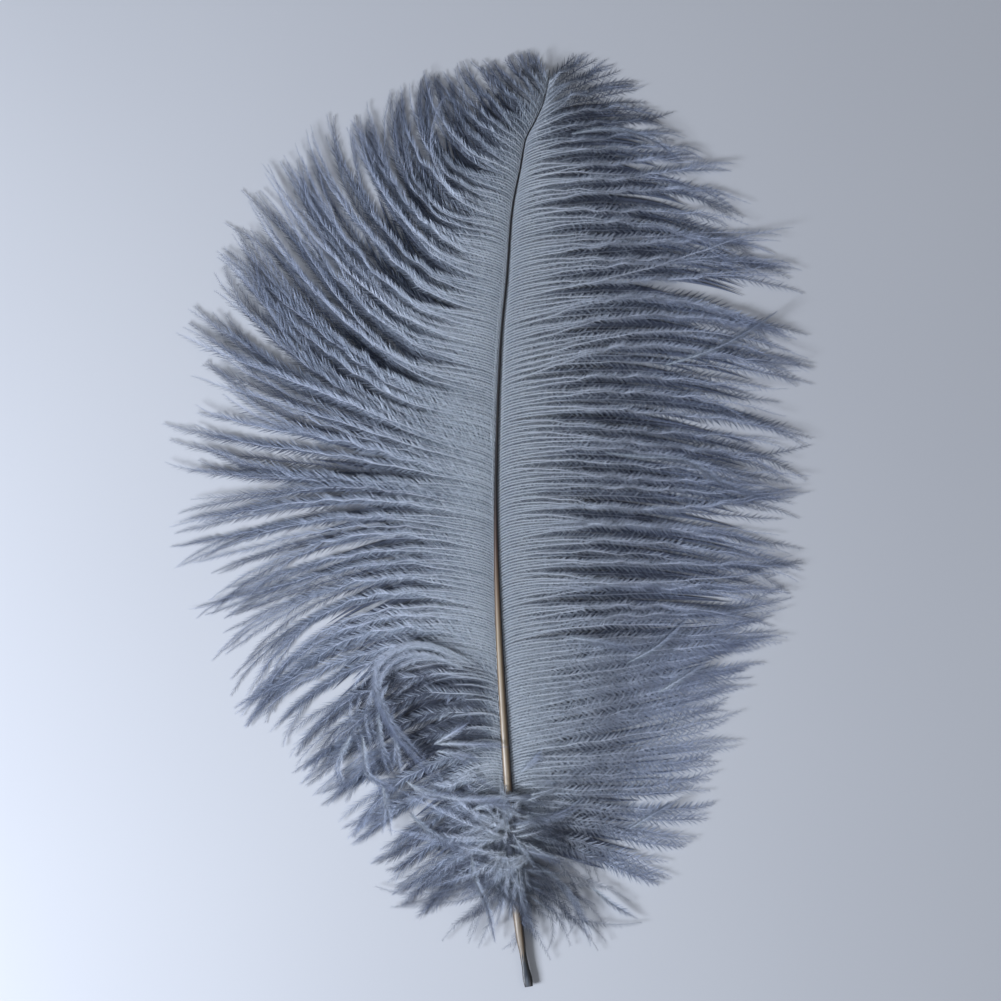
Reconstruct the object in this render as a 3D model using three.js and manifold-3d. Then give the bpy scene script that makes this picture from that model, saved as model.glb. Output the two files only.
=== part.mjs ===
// An ostrich plume lying on a flat surface with its upper side up.
// Millimetres, +Z up, +Y from the quill to the tip, +X to the right vane.
// Quill, shaft and vanes grew as one piece, so they are one solid: a tapered shaft with the barbs of
// both vanes gathered into locks. A lock leaves the shaft at a narrow angle, swings out, arches up and
// comes down on the surface, where its underside lies flat.

import * as THREE from 'three';
import { mergeVertices } from 'three/addons/utils/BufferGeometryUtils.js';
import Module from 'manifold-3d';

// Driving dimensions, in mm
const QUILL_WIDTH = 4;          // the bare quill, across
const TIP_WIDTH = 0.9;          // the shaft at the tip, across
const SHAFT_HEIGHT = 6.5;       // middle of the shaft over the surface, where the vanes are widest
const BAND_WIDTH = 16;          // the smooth band where the barb roots lie close along the shaft
const BAND_THICKNESS = 2;
const LOCK_SPACING = 12;        // between lock roots along the shaft
const LOCK_THICKNESS = 3.4;     // a lock at its fullest, top to bottom
const LOCK_ARCH = 2.2;          // how much a lock rises on its way out
const LOCK_TIP = 0.7;           // a lock's tip, across
const WIDEST_LOCK = 18;
const ROOT_SWEEP = 3.5;           // over which a barb turns out from the shaft

// Shares and angles
const ROOT_ANGLE = 25;          // degrees between a barb's root and the shaft
const OVERLAP = 1.06;           // a lock's width over the room between its neighbours
const TOUCHDOWN = 0.6;          // share of its length at which a lock reaches the surface

// The mesh
const LOCK_SIDES = 5;           // one corner up as the ridge, one flat side down
const LOCK_STEPS = 8;
const LINE_STEPS = 6;           // steps of a lock's middle line for each step of the mesh
const SHAFT_SIDES = 10;
const BAND_SIDES = 4;
const SHAFT_STEPS = 28;

// The shaft's middle line, in mm to the right and towards the tip: a gentle bow that leans over at
// the tip
const SHAFT_LINE = [
  [16.9, -192.2], [12.9, -168.2], [8.5, -111.2], [4.4, -42.2], [3.3, 9.8], [5.3, 72.8],
  [7.8, 99.2], [10.1, 127.6], [13.5, 145.2], [15.7, 156.8], [19.4, 163.8], [23.1, 172.4],
  [25.5, 185.2],
];

// Guide barbs, from the down at the base to the tip. `at` is the root's place on the shaft, from 0 at
// the quill end to 1 at the tip. `length` is in mm. `headings` are in degrees from +Y towards the
// vane's own side, at the shares GUIDE_STOPS of the length.
const GUIDE_STOPS = [0, 0.2, 0.4, 0.7, 1];
const RIGHT_GUIDES = [
  { at: 0.150, length: 62, headings: [98, 106, 112, 112, 106] },
  { at: 0.210, length: 91, headings: [84, 87, 89, 88, 84] },
  { at: 0.260, length: 99, headings: [80, 81, 80, 77, 73] },
  { at: 0.310, length: 108, headings: [80, 82, 81, 78, 74] },
  { at: 0.345, length: 113, headings: [78, 84, 85, 83, 80] },
  { at: 0.380, length: 117, headings: [77, 86, 89, 89, 88] },
  { at: 0.450, length: 122, headings: [77, 88, 94, 98, 104] },
  { at: 0.600, length: 127, headings: [77, 87, 92, 98, 108] },
  { at: 0.680, length: 125, headings: [76, 84, 89, 97, 110] },
  { at: 0.765, length: 118, headings: [75, 81, 86, 96, 112] },
  { at: 0.835, length: 97, headings: [72, 79, 85, 96, 114] },
  { at: 0.905, length: 67, headings: [66, 77, 84, 92, 106] },
  { at: 0.960, length: 36, headings: [55, 62, 68, 74, 82] },
  { at: 0.985, length: 16, headings: [38, 42, 46, 51, 56] },
];
const LEFT_GUIDES = [
  { at: 0.150, length: 50, headings: [118, 130, 135, 132, 125] },
  { at: 0.200, length: 62, headings: [104, 116, 124, 128, 130] },
  { at: 0.250, length: 76, headings: [88, 100, 112, 122, 130] },
  { at: 0.300, length: 92, headings: [78, 90, 104, 118, 130] },
  { at: 0.340, length: 106, headings: [74, 86, 102, 120, 136] },
  { at: 0.380, length: 118, headings: [72, 86, 100, 122, 138] },
  { at: 0.450, length: 128, headings: [76, 84, 96, 110, 118] },
  { at: 0.500, length: 132, headings: [78, 84, 90, 100, 104] },
  { at: 0.530, length: 134, headings: [78, 83, 84, 88, 88] },
  { at: 0.560, length: 135, headings: [78, 76, 70, 66, 62] },
  { at: 0.600, length: 135, headings: [80, 76, 56, 48, 40] },
  { at: 0.680, length: 126, headings: [82, 76, 47, 36, 22] },
  { at: 0.765, length: 103, headings: [82, 77, 46, 30, 10] },
  { at: 0.835, length: 76, headings: [80, 76, 48, 26, 4] },
  { at: 0.905, length: 48, headings: [72, 68, 52, 36, 16] },
  { at: 0.960, length: 27, headings: [54, 54, 48, 42, 34] },
  { at: 0.985, length: 14, headings: [32, 30, 28, 24, 18] },
];

const { clamp, lerp, smoothstep, degToRad, radToDeg } = THREE.MathUtils;
const UP = new THREE.Vector3(0, 0, 1);

// The value at a place between stops, which are [place, value] pairs in rising order of place
function along(stops, place) {
  const next = clamp(stops.findIndex(([stop]) => stop >= place), 1, stops.length - 1);
  const [[from, low], [to, high]] = [stops[next - 1], stops[next]];
  return lerp(low, high, clamp((place - from) / (to - from), 0, 1));
}

// Bends a closed cylinder of radius 1 so that its rings follow a line. `ringAt` gives, for a share of
// the way, the ring's middle, the direction that the line runs in, and the width and height.
function sweep(sides, steps, ringAt) {
  const body = new THREE.CylinderGeometry(1, 1, 1, sides, steps);
  const corners = body.attributes.position;
  for (let i = 0; i < corners.count; i++) {
    const { middle, forward, width, height } = ringAt(0.5 + corners.getY(i));
    const rightward = new THREE.Vector3(forward.y, -forward.x, 0);
    const corner = middle.clone()
      .addScaledVector(rightward, corners.getX(i) * width / 2)
      .addScaledVector(UP, corners.getZ(i) * height / 2);
    corners.setXYZ(i, corner.x, corner.y, corner.z);
  }
  return body;
}

// The shaft lies on the surface at the quill, is carried by the vanes, and is low again at the tip.
const SHAFT_RISE = [
  [0, QUILL_WIDTH / 2], [0.1, QUILL_WIDTH / 2], [0.3, SHAFT_HEIGHT], [0.75, SHAFT_HEIGHT],
  [1, LOCK_THICKNESS / 2],
];
const shaftCurve = new THREE.CatmullRomCurve3(
  SHAFT_LINE.map(([x, y]) => new THREE.Vector3(x, y, 0)), false, 'centripetal');

function shaftPoint(at) {
  return shaftCurve.getPointAt(at).setZ(along(SHAFT_RISE, at));
}

// The quill's end is dry and pressed flat. The shaft is full along the quill and thins to the tip.
function makeShaft() {
  const widths = [[0, 1.05], [0.04, 0.9], [0.1, 1], [0.35, 0.82], [0.6, 0.45]]
    .map(([at, share]) => [at, share * QUILL_WIDTH]).concat([[1, TIP_WIDTH]]);
  const heights = [[0, 0.5], [0.06, 1], [0.35, 0.85], [0.6, 0.55]]
    .map(([at, share]) => [at, share * QUILL_WIDTH]).concat([[1, TIP_WIDTH]]);
  return sweep(SHAFT_SIDES, SHAFT_STEPS, (share) => ({
    middle: shaftPoint(share),
    forward: shaftCurve.getTangentAt(share),
    width: along(widths, share),
    height: along(heights, share),
  }));
}

// The barbs' roots lie so close together that they make one smooth band, narrow at both ends.
function makeBand() {
  const [first, last] = [RIGHT_GUIDES[0].at, RIGHT_GUIDES.at(-1).at];
  const widths = [[0, 0.3], [0.1, 1], [0.85, 1], [1, 0.2]];
  return sweep(BAND_SIDES, SHAFT_STEPS, (share) => {
    const at = lerp(first, last, share);
    return {
      middle: shaftPoint(at),
      forward: shaftCurve.getTangentAt(at),
      width: along(widths, share) * BAND_WIDTH,
      height: BAND_THICKNESS,
    };
  });
}

// The barb that grows at a place on the shaft, between the two nearest guides
function barbAt(guides, at) {
  const blend = (pick) => along(guides.map((guide) => [guide.at, pick(guide)]), at);
  const length = blend((guide) => guide.length);
  const headings = GUIDE_STOPS.map((share, stop) => [share, blend((guide) => guide.headings[stop])]);
  return { length, headings };
}

// The middle line of a lock on one side (1 right, -1 left), as points with the direction at each.
// It starts close to the shaft's own direction and turns out from it.
function lockLine(guides, side, at) {
  const { length, headings } = barbAt(guides, at);
  const tangent = shaftCurve.getTangentAt(at);
  const shaftHeading = side * radToDeg(Math.atan2(tangent.x, tangent.y));
  const rootTurn = headings[0][1] - shaftHeading - ROOT_ANGLE;
  const stepCount = LOCK_STEPS * LINE_STEPS;
  const point = shaftPoint(at);
  const line = [];
  for (let i = 0; i <= stepCount; i++) {
    const share = i / stepCount;
    const turnedBack = rootTurn * Math.exp(-share * length / ROOT_SWEEP);
    const heading = degToRad(along(headings, share) - turnedBack);
    const forward = new THREE.Vector3(side * Math.sin(heading), Math.cos(heading), 0);
    if (i % LINE_STEPS === 0) line.push({ point: point.clone(), forward });
    point.addScaledVector(forward, length / stepCount);
  }
  return { length, line };
}

// How much room a lock has across at one of its steps, between the locks before and after it
function roomAt(locks, index, step) {
  const before = locks[Math.max(index - 1, 0)];
  const after = locks[Math.min(index + 1, locks.length - 1)];
  const apart = after.line[step].point.clone().sub(before.line[step].point);
  const { forward } = locks[index].line[step];
  const gaps = after === locks[index] || before === locks[index] ? 1 : 2;
  return Math.abs(apart.x * forward.y - apart.y * forward.x) / gaps;
}

// One lock fills its room as far as half way, and is drawn out to a point from there.
function makeLock(locks, index) {
  const { line, length } = locks[index];
  const fullness = [[0, 1], [0.45, 1], [0.8, 0.62], [1, 0]];
  const thickness = [[0, 0.5], [0.4, 1], [0.8, 0.7], [1, 0.2]];
  const rootHeight = line[0].point.z;
  return sweep(LOCK_SIDES, LOCK_STEPS, (share) => {
    const step = Math.round(share * LOCK_STEPS);
    const { point, forward } = line[step];
    const room = Math.min(roomAt(locks, index, step) * OVERLAP, WIDEST_LOCK, length / 3);
    const height = along(thickness, share) * LOCK_THICKNESS;
    const fall = Math.min(share / TOUCHDOWN, 1);
    const underside = Math.max(rootHeight - height / 2, 0) * (1 - smoothstep(fall, 0, 1))
      + LOCK_ARCH * Math.sin(Math.PI * fall);
    const flatSideDrop = height / 2 * Math.cos(Math.PI / LOCK_SIDES);
    return {
      middle: point.clone().setZ(underside + flatSideDrop),
      forward,
      width: Math.max(room * along(fullness, share), LOCK_TIP),
      height,
    };
  });
}

function makeVane(guides, side) {
  const first = guides[0].at;
  const last = guides.at(-1).at;
  const gaps = Math.round((last - first) * shaftCurve.getLength() / LOCK_SPACING);
  const locks = Array.from({ length: gaps + 1 },
    (_, k) => lockLine(guides, side, lerp(first, last, k / gaps)));
  return locks.map((_, index) => makeLock(locks, index));
}

const wasm = await Module();
wasm.setup();

function toSolid(geometry) {
  geometry.deleteAttribute('normal');
  geometry.deleteAttribute('uv');
  const merged = mergeVertices(geometry);
  return new wasm.Manifold(new wasm.Mesh({
    numProp: 3,
    vertProperties: merged.attributes.position.array,
    triVerts: Uint32Array.from(merged.index.array),
  }));
}

function toGeometry(solid) {
  const mesh = solid.getMesh();
  const geometry = new THREE.BufferGeometry();
  geometry.setAttribute('position', new THREE.BufferAttribute(mesh.vertProperties, 3));
  geometry.setIndex(new THREE.BufferAttribute(mesh.triVerts, 1));
  geometry.computeVertexNormals();
  return geometry;
}

const growths = [
  makeShaft(), makeBand(), ...makeVane(RIGHT_GUIDES, 1), ...makeVane(LEFT_GUIDES, -1),
];
const plume = toGeometry(growths.map(toSolid).reduce((whole, growth) => whole.add(growth)));

// The origin is on the surface, under the middle of the plume.
plume.computeBoundingBox();
const middle = plume.boundingBox.getCenter(new THREE.Vector3());
plume.translate(-middle.x, -middle.y, -plume.boundingBox.min.z);

const dyedBarbs = new THREE.MeshStandardMaterial({ color: 0x7e8696, roughness: 0.85, metalness: 0 });
const feather = new THREE.Mesh(plume, dyedBarbs);
feather.name = 'feather';

const part = new THREE.Group();
part.add(feather);
export default part;
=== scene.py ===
"""A dyed ostrich plume lying on a pale table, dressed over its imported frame.

Lengths in the tables are in millimetres and become metres through MM. +Y runs from the quill to the
tip, +X to the right vane, +Z up out of the table.
"""

import math
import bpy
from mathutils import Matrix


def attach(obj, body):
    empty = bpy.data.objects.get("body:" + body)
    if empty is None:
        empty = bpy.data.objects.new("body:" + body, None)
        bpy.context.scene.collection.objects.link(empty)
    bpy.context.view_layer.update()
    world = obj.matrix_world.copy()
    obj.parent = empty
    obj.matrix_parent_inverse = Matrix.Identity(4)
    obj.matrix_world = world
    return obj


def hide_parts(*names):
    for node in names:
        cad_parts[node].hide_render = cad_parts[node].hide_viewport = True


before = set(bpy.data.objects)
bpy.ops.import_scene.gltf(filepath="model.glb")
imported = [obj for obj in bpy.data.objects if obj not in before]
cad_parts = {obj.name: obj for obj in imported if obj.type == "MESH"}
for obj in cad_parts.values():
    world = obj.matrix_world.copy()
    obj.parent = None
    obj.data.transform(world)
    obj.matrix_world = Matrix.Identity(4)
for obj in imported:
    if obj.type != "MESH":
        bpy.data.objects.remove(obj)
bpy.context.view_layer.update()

from types import SimpleNamespace

import bmesh
import bpy
import numpy as np
from mathutils import Matrix, Vector

MM = 0.001
UP = np.array([0.0, 0.0, 1.0])
RANDOM = np.random.default_rng(11)

# ---- How the plume grew -----------------------------------------------------------------------
# The shaft's middle line, and guide barbs: the root's place on the shaft from the quill end (0) to
# the tip (1), the length in mm, and the headings in degrees from +Y towards the vane's own side, at
# the shares GUIDE_STOPS of the length.
SHAFT_LINE = (
    (16.9, -192.2), (12.9, -168.2), (8.5, -111.2), (4.4, -42.2), (3.3, 9.8), (5.3, 72.8), (7.8, 99.2),
    (10.1, 127.6), (13.5, 145.2), (15.7, 156.8), (19.4, 163.8), (23.1, 172.4), (25.5, 185.2),
)
GUIDE_STOPS = (0, 0.2, 0.4, 0.7, 1)
RIGHT_GUIDES = (
    (0.150, 62, (98, 106, 112, 112, 106)),
    (0.210, 91, (84, 87, 89, 88, 84)),
    (0.260, 99, (80, 81, 80, 77, 73)),
    (0.310, 108, (80, 82, 81, 78, 74)),
    (0.345, 113, (78, 84, 85, 83, 80)),
    (0.380, 117, (77, 86, 89, 89, 88)),
    (0.450, 122, (77, 88, 94, 98, 104)),
    (0.600, 127, (77, 87, 92, 98, 108)),
    (0.680, 125, (76, 84, 89, 97, 110)),
    (0.765, 118, (75, 81, 86, 96, 112)),
    (0.835, 97, (72, 79, 85, 96, 114)),
    (0.905, 67, (66, 77, 84, 92, 106)),
    (0.960, 36, (55, 62, 68, 74, 82)),
    (0.985, 16, (38, 42, 46, 51, 56)),
)
LEFT_GUIDES = (
    (0.150, 50, (118, 130, 135, 132, 125)),
    (0.200, 62, (104, 116, 124, 128, 130)),
    (0.250, 76, (88, 100, 112, 122, 130)),
    (0.300, 92, (78, 90, 104, 118, 130)),
    (0.340, 106, (74, 86, 102, 120, 136)),
    (0.380, 118, (72, 86, 100, 122, 138)),
    (0.450, 128, (76, 84, 96, 110, 118)),
    (0.500, 132, (78, 84, 90, 100, 104)),
    (0.530, 134, (78, 83, 84, 88, 88)),
    (0.560, 135, (78, 76, 70, 66, 62)),
    (0.600, 135, (80, 76, 56, 48, 40)),
    (0.680, 126, (82, 76, 47, 36, 22)),
    (0.765, 103, (82, 77, 46, 30, 10)),
    (0.835, 76, (80, 76, 48, 26, 4)),
    (0.905, 48, (72, 68, 52, 36, 16)),
    (0.960, 27, (54, 54, 48, 42, 34)),
    (0.985, 14, (32, 30, 28, 24, 18)),
)
# Barbs that lie over the left vane low down and curl back on themselves.
CURL_GUIDES = (
    (0.262, 46, (84, 96, 108, 132, 165)),
    (0.300, 54, (76, 88, 104, 135, 178)),
    (0.322, 66, (73, 84, 104, 150, 200)),
    (0.336, 108, (72, 82, 112, 202, 222)),
    (0.350, 112, (72, 83, 108, 190, 214)),
)
SHAFT_RISE = ((0, 2), (0.1, 2), (0.3, 6.5), (0.75, 6.5), (1, 1.7))
ROOT_ANGLE = 25              # degrees between a barb's root and the shaft
ROOT_SWEEP = 3.5 * MM        # over which a barb turns out from the shaft
TOUCHDOWN = 0.62             # share of its length at which a barb has come down
BARB_ARCH = 2.4 * MM         # how far a barb bows up on its way
DOWN_ARCH = 3 * MM           # the same for the down at the base
LOWEST = 0.5 * MM            # a barb's middle line over the table
CRINKLES = ((0.6, 14, 26), (0.4, 9, 14))    # each wave's weight, then its shortest and longest length in mm

# A barb's line is cut at these shares of its length, closer together at the root, where it turns most.
# STOPS says how much each guide stop counts at each of them.
STEPS = 34
SHARE = (np.arange(STEPS + 1) / STEPS) ** 1.25
STOPS = np.array([np.interp(SHARE, GUIDE_STOPS, row) for row in np.eye(len(GUIDE_STOPS))])


def smoothstep(low, high, value):
    """0 up to low, 1 from high on, and smooth between. Where low is the larger, it falls instead."""
    share = np.clip((value - low) / (high - low), 0, 1)
    return share * share * (3 - 2 * share)


def unit(vectors):
    """The vectors at length 1."""
    return vectors / np.maximum(np.linalg.norm(vectors, axis=-1, keepdims=True), 1e-12)


def wander(places, period, seed):
    """Smooth random values around 0, one for each place, that change over about a period."""
    random = np.random.default_rng(seed)
    knots = np.arange(places.min() - 2 * period, places.max() + 3 * period, period)
    values = random.normal(0, 1, len(knots))
    at = (places - knots[0]) / period
    before = np.floor(at).astype(int)
    mix = smoothstep(0, 1, at - before)
    return values[before] * (1 - mix) + values[before + 1] * mix


# ---- The shaft's line -------------------------------------------------------------------------
def even_line(points, count):
    """A centripetal Catmull-Rom line through the points, cut into equal lengths."""
    points = np.array(points, float)
    padded = np.vstack([2 * points[0] - points[1], points, 2 * points[-1] - points[-2]])
    t = np.linspace(0, 1, 60, endpoint=False)[:, None]
    pieces = []
    for before, start, end, after in zip(padded, padded[1:], padded[2:], padded[3:]):
        a, b, c = (np.linalg.norm(q - p) ** 0.5 for p, q in
                   ((before, start), (start, end), (end, after)))
        leave = ((start - before) / a - (end - before) / (a + b)) * b + (end - start)
        arrive = ((after - end) / c - (after - start) / (b + c)) * b + (end - start)
        pieces.append((2 * t**3 - 3 * t**2 + 1) * start + (t**3 - 2 * t**2 + t) * leave
                      + (3 * t**2 - 2 * t**3) * end + (t**3 - t**2) * arrive)
    line = np.vstack(pieces + [points[-1:]])
    gone = np.concatenate([[0], np.cumsum(np.linalg.norm(np.diff(line, axis=0), axis=1))])
    even = np.linspace(0, gone[-1], count)
    return np.stack([np.interp(even, gone, column) for column in line.T], 1)


LINE_AT = np.linspace(0, 1, 601)
SHAFT_XY = even_line(SHAFT_LINE, len(LINE_AT)) * MM
SHAFT_WAY = unit(np.gradient(SHAFT_XY, axis=0))
SHAFT_LENGTH = np.linalg.norm(np.diff(SHAFT_XY, axis=0), axis=1).sum()


def shaft_point(at):
    """Points on the shaft's middle line."""
    rise = np.interp(at, *zip(*SHAFT_RISE)) * MM
    return np.stack([np.interp(at, LINE_AT, SHAFT_XY[:, 0]), np.interp(at, LINE_AT, SHAFT_XY[:, 1]),
                     rise], -1)


def shaft_heading(at):
    """Degrees from +Y towards +X that the shaft leans."""
    way = np.stack([np.interp(at, LINE_AT, column) for column in SHAFT_WAY.T], -1)
    return np.degrees(np.arctan2(way[..., 0], way[..., 1]))


# ---- Barbs ------------------------------------------------------------------------------------
def run_out(roots, heading, length):
    """Lines from the roots, one for each row of headings, in radians from +Y towards +X."""
    stride = np.diff(SHARE) * length[:, None]
    turn = (heading[:, 1:] + heading[:, :-1]) / 2
    across = np.cumsum(stride * np.sin(turn), axis=1)
    onward = np.cumsum(stride * np.cos(turn), axis=1)
    line = np.repeat(roots[:, None], STEPS + 1, axis=1)
    line[:, 1:, 0] += across
    line[:, 1:, 1] += onward
    return line


def grow(at, side, guides, drift=0.0, bend=0.0, longer=1.0, curl=0.0):
    """Barbs from these places on the shaft on one side (1 right, -1 left), still at the shaft's height.
    drift turns them steadily away from the guides on their way out, bend turns them out and back, and
    curl turns only their ends."""
    places, lengths, headings = (np.array(column, float) for column in zip(*guides))
    length = np.interp(at, places, lengths) * MM * longer
    stops = np.stack([np.interp(at, places, column) for column in headings.T], 1)
    heading = stops @ STOPS
    heading += np.outer(drift * np.ones(len(at)), SHARE)
    heading += np.outer(bend * np.ones(len(at)), np.sin(2 * np.pi * SHARE))
    heading += np.outer(curl * np.ones(len(at)), 2 * SHARE ** 4)
    root_turn = stops[:, 0] - side * shaft_heading(at) - ROOT_ANGLE
    heading -= root_turn[:, None] * np.exp(-SHARE * length[:, None] / ROOT_SWEEP)
    return run_out(shaft_point(at), side * np.radians(heading), length), length


def lay_down(line, lift, arch=BARB_ARCH):
    """Gives barbs their height: out from the shaft, over and down onto the table, plus their lift."""
    fall = np.clip(SHARE / TOUCHDOWN, 0, 1)
    height = line[:, :1, 2] * (1 - smoothstep(0, 1, fall)) + arch * np.sin(np.pi * fall)
    line[:, :, 2] = np.maximum(height + lift, LOWEST)


def crinkle(line, length, sideways, upwards):
    """Waves that grow out of the barbs' even roots: bends the lines sideways, by up to that many mm, and
    returns what lifts them."""
    count = len(length)
    forward = unit(np.gradient(line, axis=1))
    right = np.stack([forward[:, :, 1], -forward[:, :, 0], 0 * forward[:, :, 0]], -1)
    waves = np.zeros((2, count, STEPS + 1))
    for weight, low, high in CRINKLES:
        wave_length = RANDOM.uniform(low, high, (2, count, 1)) * MM
        phase = RANDOM.uniform(0, 2 * np.pi, (2, count, 1))
        waves += weight * np.sin(2 * np.pi * length[:, None] * SHARE / wave_length + phase)
    grown = smoothstep(0.05, 0.3, SHARE)
    line += right * (waves[0] * grown)[:, :, None] * sideways * MM
    return waves[1] * grown * upwards * MM


def finish_barbs(line, length, tone, fluff=1.0, bare=0.0):
    """A set of barbs with its directions: forward along each, and to its right-hand side. Their tone is
    one value a barb, or one for each of its points, and bare is what their middles add to it."""
    forward = unit(np.gradient(line, axis=1))
    right = np.stack([forward[:, :, 1], -forward[:, :, 0], 0 * forward[:, :, 0]], -1)
    tone = np.clip(np.broadcast_to(np.atleast_2d(tone.T).T, line.shape[:2]), 0, 1)
    every = np.ones(len(length))
    return SimpleNamespace(line=line, length=length, forward=forward, right=unit(right), tone=tone,
                           fluff=fluff * every, bare=bare * every)


def spread(guides, spacing):
    """Even places along the shaft for one vane's barbs."""
    first, last = guides[0][0], guides[-1][0]
    return np.linspace(first, last, int((last - first) * SHAFT_LENGTH / spacing))


LONGEST_REACH = 1.05         # of a barb against its guides, so that none sticks out of the vane
HIGHEST_LOCK = 3.2           # mm that a lock may stand over the vane
UNDER_SPACING = 1.6 * MM
UNDER_END = 0.94             # place on the shaft past which nothing is hidden under the vane
CURL_SPACING = 1.2 * MM
INNER_CURL = 0.322           # place on the shaft below which the curl is thin


def areas(side, at):
    """How far places on the shaft belong to the areas where a vane grows its own way: the calm low stretch
    of the right vane, the fluffy low stretch and the fan of the left one, and the tip of both."""
    right, left = side > 0, side < 0
    return SimpleNamespace(
        calm=right * smoothstep(0.40, 0.33, at),
        fluffy=left * smoothstep(0.42, 0.36, at),
        fan=left * smoothstep(0.48, 0.52, at) * smoothstep(0.64, 0.6, at),
        tip=smoothstep(0.78, 0.95, at))


def barb_places(style):
    """Where a vane's barbs root. Where it is thicker, every third gap between them holds one more."""
    at = spread(style.guides, style.spacing * MM)
    between = (at[1:] + at[:-1]) / 2
    first, last = style.thicker
    return np.sort(np.concatenate([at, between[(between > first) & (between < last)][::3]]))


def grow_locks(style, at, lock_of):
    """The middle lines of a vane's locks, and how each lock departs from the guides."""
    lock_at = np.array([at[lock_of == k].mean() for k in range(lock_of.max() + 1)])
    count = len(lock_at)
    swing = style.swing * (1 - 0.7 * (style.side > 0) * smoothstep(0.46, 0.38, lock_at))
    drift = RANDOM.normal(0, 1.8, count) + swing * wander(lock_at, 0.03, style.seed)
    bend = RANDOM.normal(0, 2.0, count) + swing * wander(lock_at, 0.05, style.seed + 1)
    curl = RANDOM.normal(0, 8, count)
    reach = 1 + RANDOM.normal(0, 0.035, count)
    line, length = grow(lock_at, style.side, style.guides, drift, bend, reach, curl)
    lift = crinkle(line, length, style.wave, 0.5)
    return SimpleNamespace(at=lock_at, drift=drift, bend=bend, curl=curl, reach=reach, line=line, lift=lift)


def vane(style):
    """One vane's barbs. They leave the shaft like the teeth of a comb. Further out, half of them gather
    into raised locks, and the others stay spread out underneath. A few have sprung loose."""
    at = barb_places(style)
    count = len(at)
    area = areas(style.side, at)
    lock_of = np.repeat(np.arange(count), RANDOM.choice(style.lock_sizes, size=count))[:count]
    gathered = (np.arange(count) % 2 == 0) | (RANDOM.random(count) < 0.1)
    locks = grow_locks(style, at, lock_of)
    loose = gathered & (RANDOM.random(count) < 0.06)

    # Each barb by itself, close to its lock's way.
    drift = RANDOM.normal(0, 1.4, count) + loose * RANDOM.normal(0, 12, count)
    drift = locks.drift[lock_of] * np.where(gathered, 1, 0.5) + drift
    reach = locks.reach[lock_of] * (1 + RANDOM.normal(0, 0.06, count)) * np.where(gathered, 1, 0.96)
    curl = locks.curl[lock_of] * 0.7 + RANDOM.normal(0, 5, count)
    line, length = grow(at, style.side, style.guides, drift, locks.bend[lock_of] * gathered,
                        np.minimum(reach, LONGEST_REACH), curl)

    # Gathered barbs close in on their lock's middle line, which opens again at its end.
    hold = (gathered & ~loose) * RANDOM.uniform(0.82, 0.97, count) * (1 - 0.4 * area.calm)
    opening, opens_from = style.opening
    pull = smoothstep(0.08, 0.42, SHARE) * (1 - opening * smoothstep(opens_from, 1, SHARE)) * hold[:, None]
    line += pull[:, :, None] * (locks.line[lock_of] - line)

    # Locks lie over the barbs between them, and loose barbs over both.
    raised = 0.7 + RANDOM.gamma(2.2, 0.7, len(locks.at)) + 0.5 * wander(locks.at, 0.02, style.seed + 2)
    raised = np.minimum(raised, HIGHEST_LOCK) * style.height
    raised = raised[lock_of] * gathered * (1 - 0.5 * area.calm) * (1 - 0.6 * area.tip)
    sunk = ~gathered * RANDOM.uniform(0.2, 0.9, count)
    sprung = loose * RANDOM.uniform(1, 3, count)
    lift = raised[:, None] * MM * smoothstep(0.08, 0.4, SHARE) + locks.lift[lock_of] * pull
    lift -= sunk[:, None] * MM * smoothstep(0.05, 0.25, SHARE)
    lift += sprung[:, None] * MM * smoothstep(0.1, 0.5, SHARE)
    lift += crinkle(line, length, 0.3, 0.25)
    lay_down(line, lift)

    # Painted light and shade: the raised locks are painted pale, as if lit, and the sunken barbs between
    # them dark, as painted shade.
    tone = style.tone + 0.05 * wander(at, 0.03, style.seed + 3) + RANDOM.normal(0, 0.05, count)
    tone += RANDOM.normal(0, 0.05, len(locks.at))[lock_of] + 0.08 * loose
    tone += 0.2 * area.calm - 0.1 * area.fan - style.tip_shade * area.tip
    apart = np.where(gathered, 0.28, -0.24) * (1 - 0.4 * area.calm) * (1 - 0.4 * area.tip) * style.contrast
    grown_apart = 0.4 + 0.6 * smoothstep(0.1, 0.4, SHARE)
    evened = 1 - style.evened * smoothstep(0.5, 0.85, SHARE)
    tone = tone[:, None] + np.interp(SHARE, *zip(*style.tone_along)) + apart[:, None] * grown_apart * evened
    # The middles of gathered barbs get a painted highlight along the locks' ridges; in the calm stretch and
    # at the tip the middles are made darker.
    bare = np.where(gathered, 0.2, 0.0) - 0.2 * area.calm - 0.3 * area.tip
    fluff = np.where(gathered, style.fluff, 1.05)
    fluff += (1.15 - fluff) * area.calm + 0.3 * area.fluffy + 0.25 * area.fan - 0.15 * area.tip
    barbs = finish_barbs(line, length, tone, fluff, bare)
    barbs.at = at
    return barbs


def underlay(style):
    """The lowest barbs of a vane, evenly spread and short of the edge, painted dark as shade for the gaps
    between the barbs over them.
    """
    at = spread(style.guides, UNDER_SPACING)
    at = at[at < UNDER_END]
    line, length = grow(at, style.side, style.guides, longer=RANDOM.uniform(*style.under_reach, len(at)))
    lay_down(line, -1.7 * MM * smoothstep(0.02, 0.2, SHARE) - 0.3 * MM)
    # Painted shade: darker still beside the hollow inside the curl on the left vane, and a little paler low
    # on the vane.
    tone = 0.1 * smoothstep(0.45, 0.3, at) - 0.4 * (style.side < 0) * hollow(at)
    barbs = finish_barbs(line, length, RANDOM.uniform(0.12, 0.28, len(at)) + tone)
    barbs.at = at
    return barbs


def hollow(at):
    """How far places on the shaft lie beside the hollow inside the curl."""
    return smoothstep(0.235, 0.265, at) * smoothstep(0.355, 0.33, at)


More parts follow.
